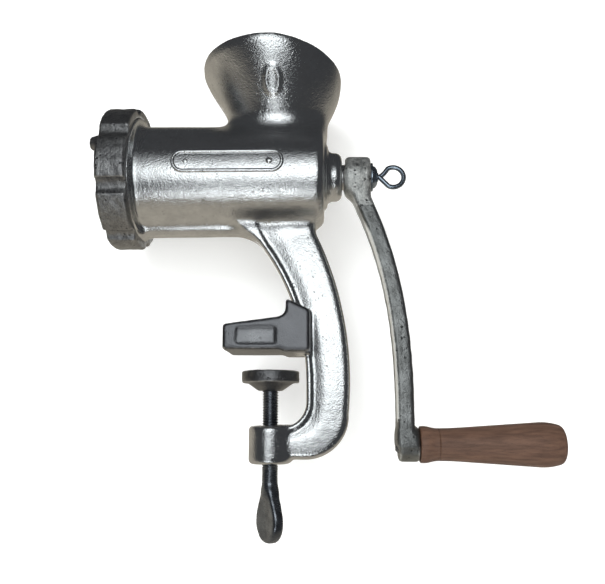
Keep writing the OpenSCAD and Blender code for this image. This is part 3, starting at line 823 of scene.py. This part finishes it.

# %% [markdown]
# The crank is one flat, bent casting: a hub with a square hole, an arm that swings outwards, and a boss for
# the handle's spindle. The arm's middle line is a cubic curve in the side view. Its rough skin stays as it
# came from the mould, with a low parting line along the inner edge. A pale strip on the -Y half of the
# arm's inner side is a painted highlight, and the hub is made lighter; both join the mark of worn corners.

# %% The crank
HUB_R, HUB_LONG, SEAT_DEEP = 12.0, 15, 9
ARM_THICK_HALF, ARM_WIDE_HALF, SQUARE_HALF = 4.7, 8.8, 5.1
HANDLE_BOSS_LONG, HANDLE_BOSS_R = 11.5, 9.4
# How much lighter the hub is made.
HUB_LIGHTER = 0.46
ARM_FOOT_X = ARM_HIGH[0] - HANDLE_BOSS_LONG / 2
arm_t = np.linspace(0, 1, 60)
arm_line = cubic(np.array([(ARM_LOW[0] + 5.0, AXIS - 4), (ARM_FOOT_X - 8.5, AXIS - 46.5),
                           (ARM_FOOT_X + 0.5, AXIS - 84), (ARM_FOOT_X - 2, GRIP_Z)]), arm_t)
arm_slope = np.gradient(arm_line[:, 0], arm_line[:, 1])


def crank_field(x, y, z):
    down = arm_line[::-1, 1]
    middle = np.interp(z, down, arm_line[::-1, 0])
    lean = 1 / np.sqrt(1 + np.interp(z, down, arm_slope[::-1]) ** 2)
    flash = 0.35 * np.exp(-(y / 1.6) ** 2) * (x < middle)
    arm = abs(x - middle) * lean - ARM_THICK_HALF - flash
    between = abs(z - (AXIS + GRIP_Z) / 2) - (AXIS - GRIP_Z) / 2
    arm = keep(keep(arm, abs(y) - ARM_WIDE_HALF, 2.6), between, 1)
    shape = join(arm, rod(x, y, z, ARM_LOW[0], ARM_LOW[0] + HUB_LONG, HUB_R, 2.4), 5)
    foot = rod(x, y, z, ARM_HIGH[0] - HANDLE_BOSS_LONG, ARM_HIGH[0], HANDLE_BOSS_R, 1.6, axis=GRIP_Z)
    shape = join(shape, foot, 3.5) + ripple(x, y, z, 0.06, 7, 7)
    square = np.maximum(abs(y), abs(z - AXIS)) - SQUARE_HALF
    shape = keep(shape, -square, 0.5)
    seat = rod(x, y, z, DOME_LOW[0], DOME_LOW[0] + SEAT_DEEP, HUB_R, 0.3)
    return keep(shape, -seat, 0.8)


# Painted highlight: a pale strip on the -Y half of the arm's inner side; the hub is also made lighter.
def painted_highlight_and_hub(x, y, z):
    middle = np.interp(z, arm_line[::-1, 1], arm_line[::-1, 0])
    along = np.clip((AXIS - 22 - z) / 15, 0, 1) * np.clip((z - GRIP_Z - 10) / 4, 0, 1)
    strip = along * np.clip(-y / 3, 0, 1) * np.clip((middle - 2.7 - x) / 2.4, 0, 1)
    hub = HUB_LIGHTER * (z > AXIS - 20)
    return np.maximum(strip, hub)


cast_piece("crank", crank_field, ARM_LOW, ARM_HIGH, 0.85 * QUICK, "rotor", "crank_casting", ["crank_arm"],
           bright=painted_highlight_and_hub)

# %% [markdown]
# Round parts come off a lathe, and so do their meshes: a closed outline, drawn from the axis outwards, is
# carried around in small steps. Each corner of the outline gets its own radius, because no turned edge is
# perfectly sharp.

# %% Turning an outline


def rounded(outline, radii, steps=5):
    points = np.array(outline, float)
    result = []
    for i, radius in enumerate(radii):
        here, before, after = points[i], points[i - 1], points[(i + 1) % len(points)]
        if radius == 0:
            result.append(here)
            continue
        arms = [(other - here) / np.linalg.norm(other - here) for other in (before, after)]
        start, end = here + arms[0] * radius, here + arms[1] * radius
        for t in np.linspace(0, 1, steps):
            result.append((1 - t) ** 2 * start + 2 * t * (1 - t) * here + t * t * end)
    return np.array(result)


def turned(name, outline, centre, body, slot, nodes=(), steps=72):
    n = len(outline)
    spin = np.repeat(np.arange(steps) * 2 * math.pi / steps, n)
    along, out = np.tile(outline[:, 0], steps), np.tile(outline[:, 1], steps)
    points = np.stack([along, out * np.sin(spin), out * np.cos(spin)], 1)
    faces = []
    for k in range(steps):
        for i in range(n):
            j, m = (i + 1) % n, (k + 1) % steps
            faces.append((k * n + i, k * n + j, m * n + j, m * n + i))
    recalculate(piece(name, points + np.array(centre), faces, body, slot, nodes).data)


# %% The grip, its end and the domed washer
GRIP_LEN = GRIP_HIGH[0] - GRIP_LOW[0]
GRIP_R = (GRIP_HIGH[2] - GRIP_LOW[2]) / 2
END_R = GRIP_R - 4.6
HOLE_R, BEAD_R, NECK_R, SINK_R = 3.6, 10.1, 8.9, 6.8
END_X, SINK_X = GRIP_LEN - 0.1, GRIP_LEN - 6.3
grip_outline = rounded([(0, HOLE_R), (0, BEAD_R), (3.8, BEAD_R), (8.0, NECK_R), (16.0, NECK_R),
                        (GRIP_LEN - 8.5, GRIP_R - 0.05), (END_X, END_R + 2.3), (END_X, SINK_R),
                        (SINK_X, SINK_R), (SINK_X, HOLE_R)],
                       [0.2, 1.0, 1.6, 2.6, 6.0, 5.2, 3.0, 0.5, 0.2, 0.2], steps=9)
turned("wooden_grip", grip_outline, (GRIP_LOW[0], 0, GRIP_Z), "grip", "turned_wood",
       ["handle_grip"], steps=96)

dome_outline = rounded([(0, 3.1), (0, 8.4), (1.3, 8.4), (1.3, 6.6), (2.4, 6.6), (4.0, 4.4), (4.0, 3.1)],
                       [0.2, 0.4, 0.4, 0.3, 0.9, 0.6, 0.2])
turned("domed_washer", dome_outline, (DOME_LOW[0], 0, AXIS), "washer", "zinc_steel", ["crank_washer"])

# %% [markdown]
# The eye screw that keeps the crank on is bent from one wire: it leaves the shank, runs straight down the
# lower side of the loop, goes around and comes back to the root with a slight swing. The two strands pass
# each other at the root, one in front and one behind, so the loop has a point there.

# %% The eye of the eye screw
EYE_X = (EYE_HIGH[0] - 1.6) - 7.5
LOOP_R = 6.3
WIRE_R = 1.45
ROOT_X = DOME_HIGH[0] + 0.9
LOOP_FROM, LOOP_TO = -112, 118
eye_path = [(DOME_HIGH[0] - 3, 0, 0), (DOME_HIGH[0] - 1, -0.2, 0)]
lower = (EYE_X + LOOP_R * math.cos(math.radians(LOOP_FROM)), LOOP_R * math.sin(math.radians(LOOP_FROM)))
for t in np.linspace(0.05, 0.95, 7):
    eye_path.append((ROOT_X + t * (lower[0] - ROOT_X), -1.15 + 0.7 * t, t * lower[1]))
for a in np.linspace(LOOP_FROM, LOOP_TO, 34):
    turn = math.radians(a)
    gone = 1.4 * (a - LOOP_FROM) / (LOOP_TO - LOOP_FROM)
    eye_path.append((EYE_X + 0.3 + LOOP_R * math.cos(turn), -0.45 + gone,
                     LOOP_R * math.sin(turn)))
upper = eye_path[-1]
for t in np.linspace(0.12, 1, 8):
    swing = 1.0 * math.sin(math.pi * t)
    eye_path.append((upper[0] + t * (ROOT_X - 0.4 - upper[0]), 0.95 + 0.35 * t,
                     upper[2] * (1 - t) - swing + 0.3 * t))
wire("eye_loop", [(x, y, z + AXIS) for x, y, z in eye_path], WIRE_R, "eye", "zinc_steel", ["eye_screw"])

# %% [markdown]
# The clamp screw stands upright in the foot. On top it carries a disc that presses against the table from
# below, and at its lower end a flat thumb paddle, forged from the same bar. The disc's underside falls
# away as a cone towards the screw.

# %% The clamp disc and the thumb paddle
DISC_R = (DISC_HIGH[0] - DISC_LOW[0]) / 2
DISC_RIM, CONE_R, CONE_SLOPE, CONE_DEEP = 6.8, 13.2, 1.45, 4.4
WING_TURN = math.radians(-58)
WING_TOP, WING_LOW = SCREW_LOW[2] + 33, SCREW_LOW[2]
WING_R, WING_HALF, NECK_HALF, SHANK_R = 11.7, 3.4, 4.6, 4.3


def disc_field(x, y, z):
    rim = upright(x, y, z, DISC_HIGH[2] - DISC_RIM, DISC_HIGH[2] - 0.12, DISC_R - 0.2, 0.9)
    depth = DISC_HIGH[2] - DISC_RIM - z
    cone = keep(np.hypot(x, y) - CONE_R + CONE_SLOPE * depth, depth - CONE_DEEP, 0.8)
    shape = join(rim, keep(cone, -depth - 2, 0.5), 0.8) + ripple(x, y, z, 0.08, 7, 9)
    return keep(shape, -upright(x, y, z, DISC_LOW[2] - 5, DISC_LOW[2] + 8, 4.75, 0.2), 0.5)


def paddle_field(x, y, z):
    across = x * math.cos(WING_TURN) + y * math.sin(WING_TURN)
    through = y * math.cos(WING_TURN) - x * math.sin(WING_TURN)
    hub = WING_LOW + 0.2 + WING_R
    climb = np.clip((z - hub) / (WING_TOP - hub), 0, 1)
    width = WING_R + (NECK_HALF - WING_R) * (3 * climb ** 2 - 2 * climb ** 3)
    flat = np.where(z < hub, np.hypot(across, z - hub) - WING_R, (abs(across) - width) * 0.88)
    dish = 1.1 * np.exp(-((z - hub) / 8) ** 2 - (across / 7) ** 2)
    paddle = keep(flat, abs(through) - WING_HALF + dish, 2.6)
    paddle = keep(paddle, z - WING_TOP + 3, 3)
    shank = upright(x, y, z, WING_TOP - 8, FOOT_LOW - 1.2, SHANK_R, 0.8)
    return join(paddle, shank, 2.8) + ripple(x, y, z, 0.07, 8, 11)


cast_piece("clamp_plate", disc_field, DISC_LOW, DISC_HIGH, 0.6 * QUICK, "disc", "dark_casting",
           ["clamp_disc"])
cast_piece("thumb_paddle", paddle_field, SCREW_LOW, (13, 13, FOOT_LOW), 0.6 * QUICK, "screw", "screw_steel",
           ["clamp_screw"])

# %% [markdown]
# Threads and the auger follow one rule: the radius depends only on how far along and around a point is.
# Geometry Nodes can apply that rule to a flat grid that is rolled up. The tree below has named inputs for
# length, pitch and radii, so one tree makes the clamp screw's thread, the eye screw's shank and the worm
# of the auger. It ends in Realize Instances and Set Material, and the result is kept as a plain mesh.

# %% The helix tree
HELIX_SIZES = (("Length", 0.05), ("Pitch", 0.0015), ("Root Front", 0.004), ("Root Rear", 0.004),
               ("Crest", 0.0045), ("Land", 0.3), ("Flank", 0.5), ("Run Out", 0.001))


def helix_tree():
    inputs = [(label, "NodeSocketFloat", value) for label, value in HELIX_SIZES]
    inputs += [("Rows", "NodeSocketInt", 48), ("Around", "NodeSocketInt", 48),
               ("Finish", "NodeSocketMaterial", None)]
    tree, given, result = new_group("helix", inputs, [("Mesh", "NodeSocketGeometry")], "GeometryNodeTree")
    size = given.outputs

    def calc(operation, a, b=0.0):
        return math_node(tree, operation, a, b)

    grid = add(tree, "GeometryNodeMeshGrid", None, Size_X=size["Length"], Size_Y=1.0,
               Vertices_X=size["Rows"], Vertices_Y=size["Around"])
    split = add(tree, "ShaderNodeSeparateXYZ", None, i0=add(tree, "GeometryNodeInputPosition").outputs[0])
    along = calc("ADD", split.outputs["X"], calc("MULTIPLY", size["Length"], 0.5))
    row = calc("DIVIDE", size["Length"], calc("SUBTRACT", size["Rows"], 1.0))
    body = calc("SUBTRACT", size["Length"], calc("MULTIPLY", row, 2.0))
    place = calc("DIVIDE", calc("MULTIPLY", calc("SUBTRACT", along, row), size["Length"]), body)
    place = calc("MINIMUM", calc("MAXIMUM", place, 0.0), size["Length"])
    phase = calc("FRACT", calc("ADD", calc("SUBTRACT", calc("DIVIDE", place, size["Pitch"]),
                                           split.outputs["Y"]), 100.0))
    ridge = calc("ABSOLUTE", calc("MULTIPLY", calc("SUBTRACT", phase, 0.5), 2.0))
    height = spread(tree, ridge, size["Land"], calc("ADD", size["Land"], size["Flank"]), 1.0, 0.0,
                    "SMOOTHSTEP")
    root = spread(tree, place, 0.0, size["Length"], size["Root Front"], size["Root Rear"])
    ends = calc("MINIMUM", place, calc("SUBTRACT", size["Length"], place))
    height = calc("MULTIPLY", height, spread(tree, ends, 0.0, size["Run Out"], kind="SMOOTHSTEP"))
    radius = calc("ADD", root, calc("MULTIPLY", calc("SUBTRACT", size["Crest"], root), height))
    half_row = calc("MULTIPLY", row, 0.5)
    capped = calc("MULTIPLY", calc("GREATER_THAN", along, half_row),
                  calc("LESS_THAN", along, calc("SUBTRACT", size["Length"], half_row)))
    radius = calc("MULTIPLY", radius, capped)
    angle = calc("MULTIPLY", split.outputs["Y"], 2 * math.pi)
    spot = add(tree, "ShaderNodeCombineXYZ", None, X=place, Y=calc("MULTIPLY", radius, calc("SINE", angle)),
               Z=calc("MULTIPLY", radius, calc("COSINE", angle)))
    moved = add(tree, "GeometryNodeSetPosition", None, Geometry=grid.outputs["Mesh"],
                Position=spot.outputs[0])
    merged = add(tree, "GeometryNodeMergeByDistance", None, Geometry=moved.outputs[0], Distance=1e-6)
    smooth = add(tree, "GeometryNodeSetShadeSmooth", None, Geometry=merged.outputs[0])
    real = add(tree, "GeometryNodeRealizeInstances", None, Geometry=smooth.outputs[0])
    finish = add(tree, "GeometryNodeSetMaterial", None, Geometry=real.outputs[0], Material=size["Finish"])
    tree.links.new(finish.outputs[0], result.inputs[0])
    return tree


HELIX = helix_tree()


def helix(name, start, length, upward, body, slot, nodes=(), **inputs):
    holder = bpy.data.objects.new(name + "_tree", bpy.data.meshes.new(name + "_tree"))
    scene.collection.objects.link(holder)
    modifier = holder.modifiers.new("helix", "NODES")
    modifier.node_group = HELIX
    sockets = {item.name: item.identifier for item in HELIX.interface.items_tree}
    modifier[sockets["Finish"]] = MATERIALS[slot]
    modifier[sockets["Length"]] = length * MM
    for key, value in inputs.items():
        count = isinstance(value, int)
        ratio = key in ("Land", "Flank")
        modifier[sockets[key.replace("_", " ")]] = value if count or ratio else value * MM
    mesh = plain_mesh(holder, name)
    points = np.zeros(len(mesh.vertices) * 3)
    mesh.vertices.foreach_get("co", points)
    points = points.reshape(-1, 3)
    if upward:
        points = points[:, [1, 2, 0]]
    mesh.vertices.foreach_set("co", (points + np.array(start) * MM).ravel())
    recalculate(mesh)
    finish_piece(name, mesh, body, slot, nodes)


# %% Threads and the auger
SCREW_TOP = DISC_LOW[2] + 8
THREAD_DOWN = 4
WASHER_T, SHOULDER_T, REAR_WALL, END_PLAY = 2.4, 3.5, 5, 0.3
WORM_TURNS, PLATE_STEP, AUGER_SQUARE_HALF = 2.6, 5.2, 4.95
helix("clamp_thread", (0, 0, FOOT_LOW - THREAD_DOWN), SCREW_TOP - FOOT_LOW + THREAD_DOWN, True, "screw",
      "screw_steel", ["clamp_screw"], Pitch=1.5, Root_Front=3.95, Root_Rear=3.95, Crest=4.5, Land=0.12,
      Flank=0.7, Run_Out=0.8, Rows=421, Around=40)
SHANK_X = AUGER_HIGH[0] - 15
helix("eye_shank", (SHANK_X, 0, AXIS), DOME_HIGH[0] + 0.6 - SHANK_X, False, "eye", "zinc_steel",
      ["eye_screw"], Pitch=1.25, Root_Front=2.6, Root_Rear=2.6, Crest=2.98, Land=0.12, Flank=0.7,
      Run_Out=0.8, Rows=161, Around=32)
WORM_END = REAR_X - REAR_WALL - WASHER_T - END_PLAY - SHOULDER_T
WORM_LONG = WORM_END - AUGER_LOW[0]
helix("auger_worm", (AUGER_LOW[0], 0, AXIS), WORM_LONG, False, "rotor", "tinned_iron", ["auger"],
      Pitch=WORM_LONG / WORM_TURNS, Root_Front=12.5, Root_Rear=9.5, Crest=BORE_R - 1.4, Land=0.10,
      Flank=0.16, Run_Out=2.0, Rows=301, Around=96)


def shank_field(x, y, z):
    plate = rod(x, y, z, WORM_END - 1, WORM_END + SHOULDER_T, BORE_R - PLATE_STEP, 1.0)
    journal = rod(x, y, z, WORM_END, ARM_LOW[0] + 0.5, 7.5, 0.4)
    square = np.maximum(np.maximum(abs(y), abs(z - AXIS)) - AUGER_SQUARE_HALF,
                        abs(x - (ARM_LOW[0] + AUGER_HIGH[0]) / 2) - (AUGER_HIGH[0] - ARM_LOW[0]) / 2)
    shape = np.minimum(join(plate, journal, 3), square)
    return keep(shape, -rod(x, y, z, SHANK_X, AUGER_HIGH[0] + 9, 3.1, 0.1), 0.3)


cast_piece("auger_shank", shank_field, (WORM_END - 2, -22, AXIS - 22), (AUGER_HIGH[0], 22, AXIS + 22),
           0.8 * QUICK, "rotor", "tool_steel", ["auger"])

# %% [markdown]
# Seven pieces are hidden or very small, and are plain turned, ground or drilled parts. The frame already
# holds their exact shape, so they keep it and only get their finish.

# %% Frame nodes that keep their shape and get their finish
KEPT = ("plate_key_pin", "thrust_washer", "knife_stud", "cross_knife", "cutting_plate", "handle_spindle",
        "handle_washer")
slots = {s["node"]: s["material_slot"] for s in frame["record"]["subparts"]}
for node in KEPT:
    thing = frame["nodes"][node]
    thing.data.materials.clear()
    thing.data.materials.append(MATERIALS[slots[node]])
print("kept as they are:", ", ".join(KEPT))
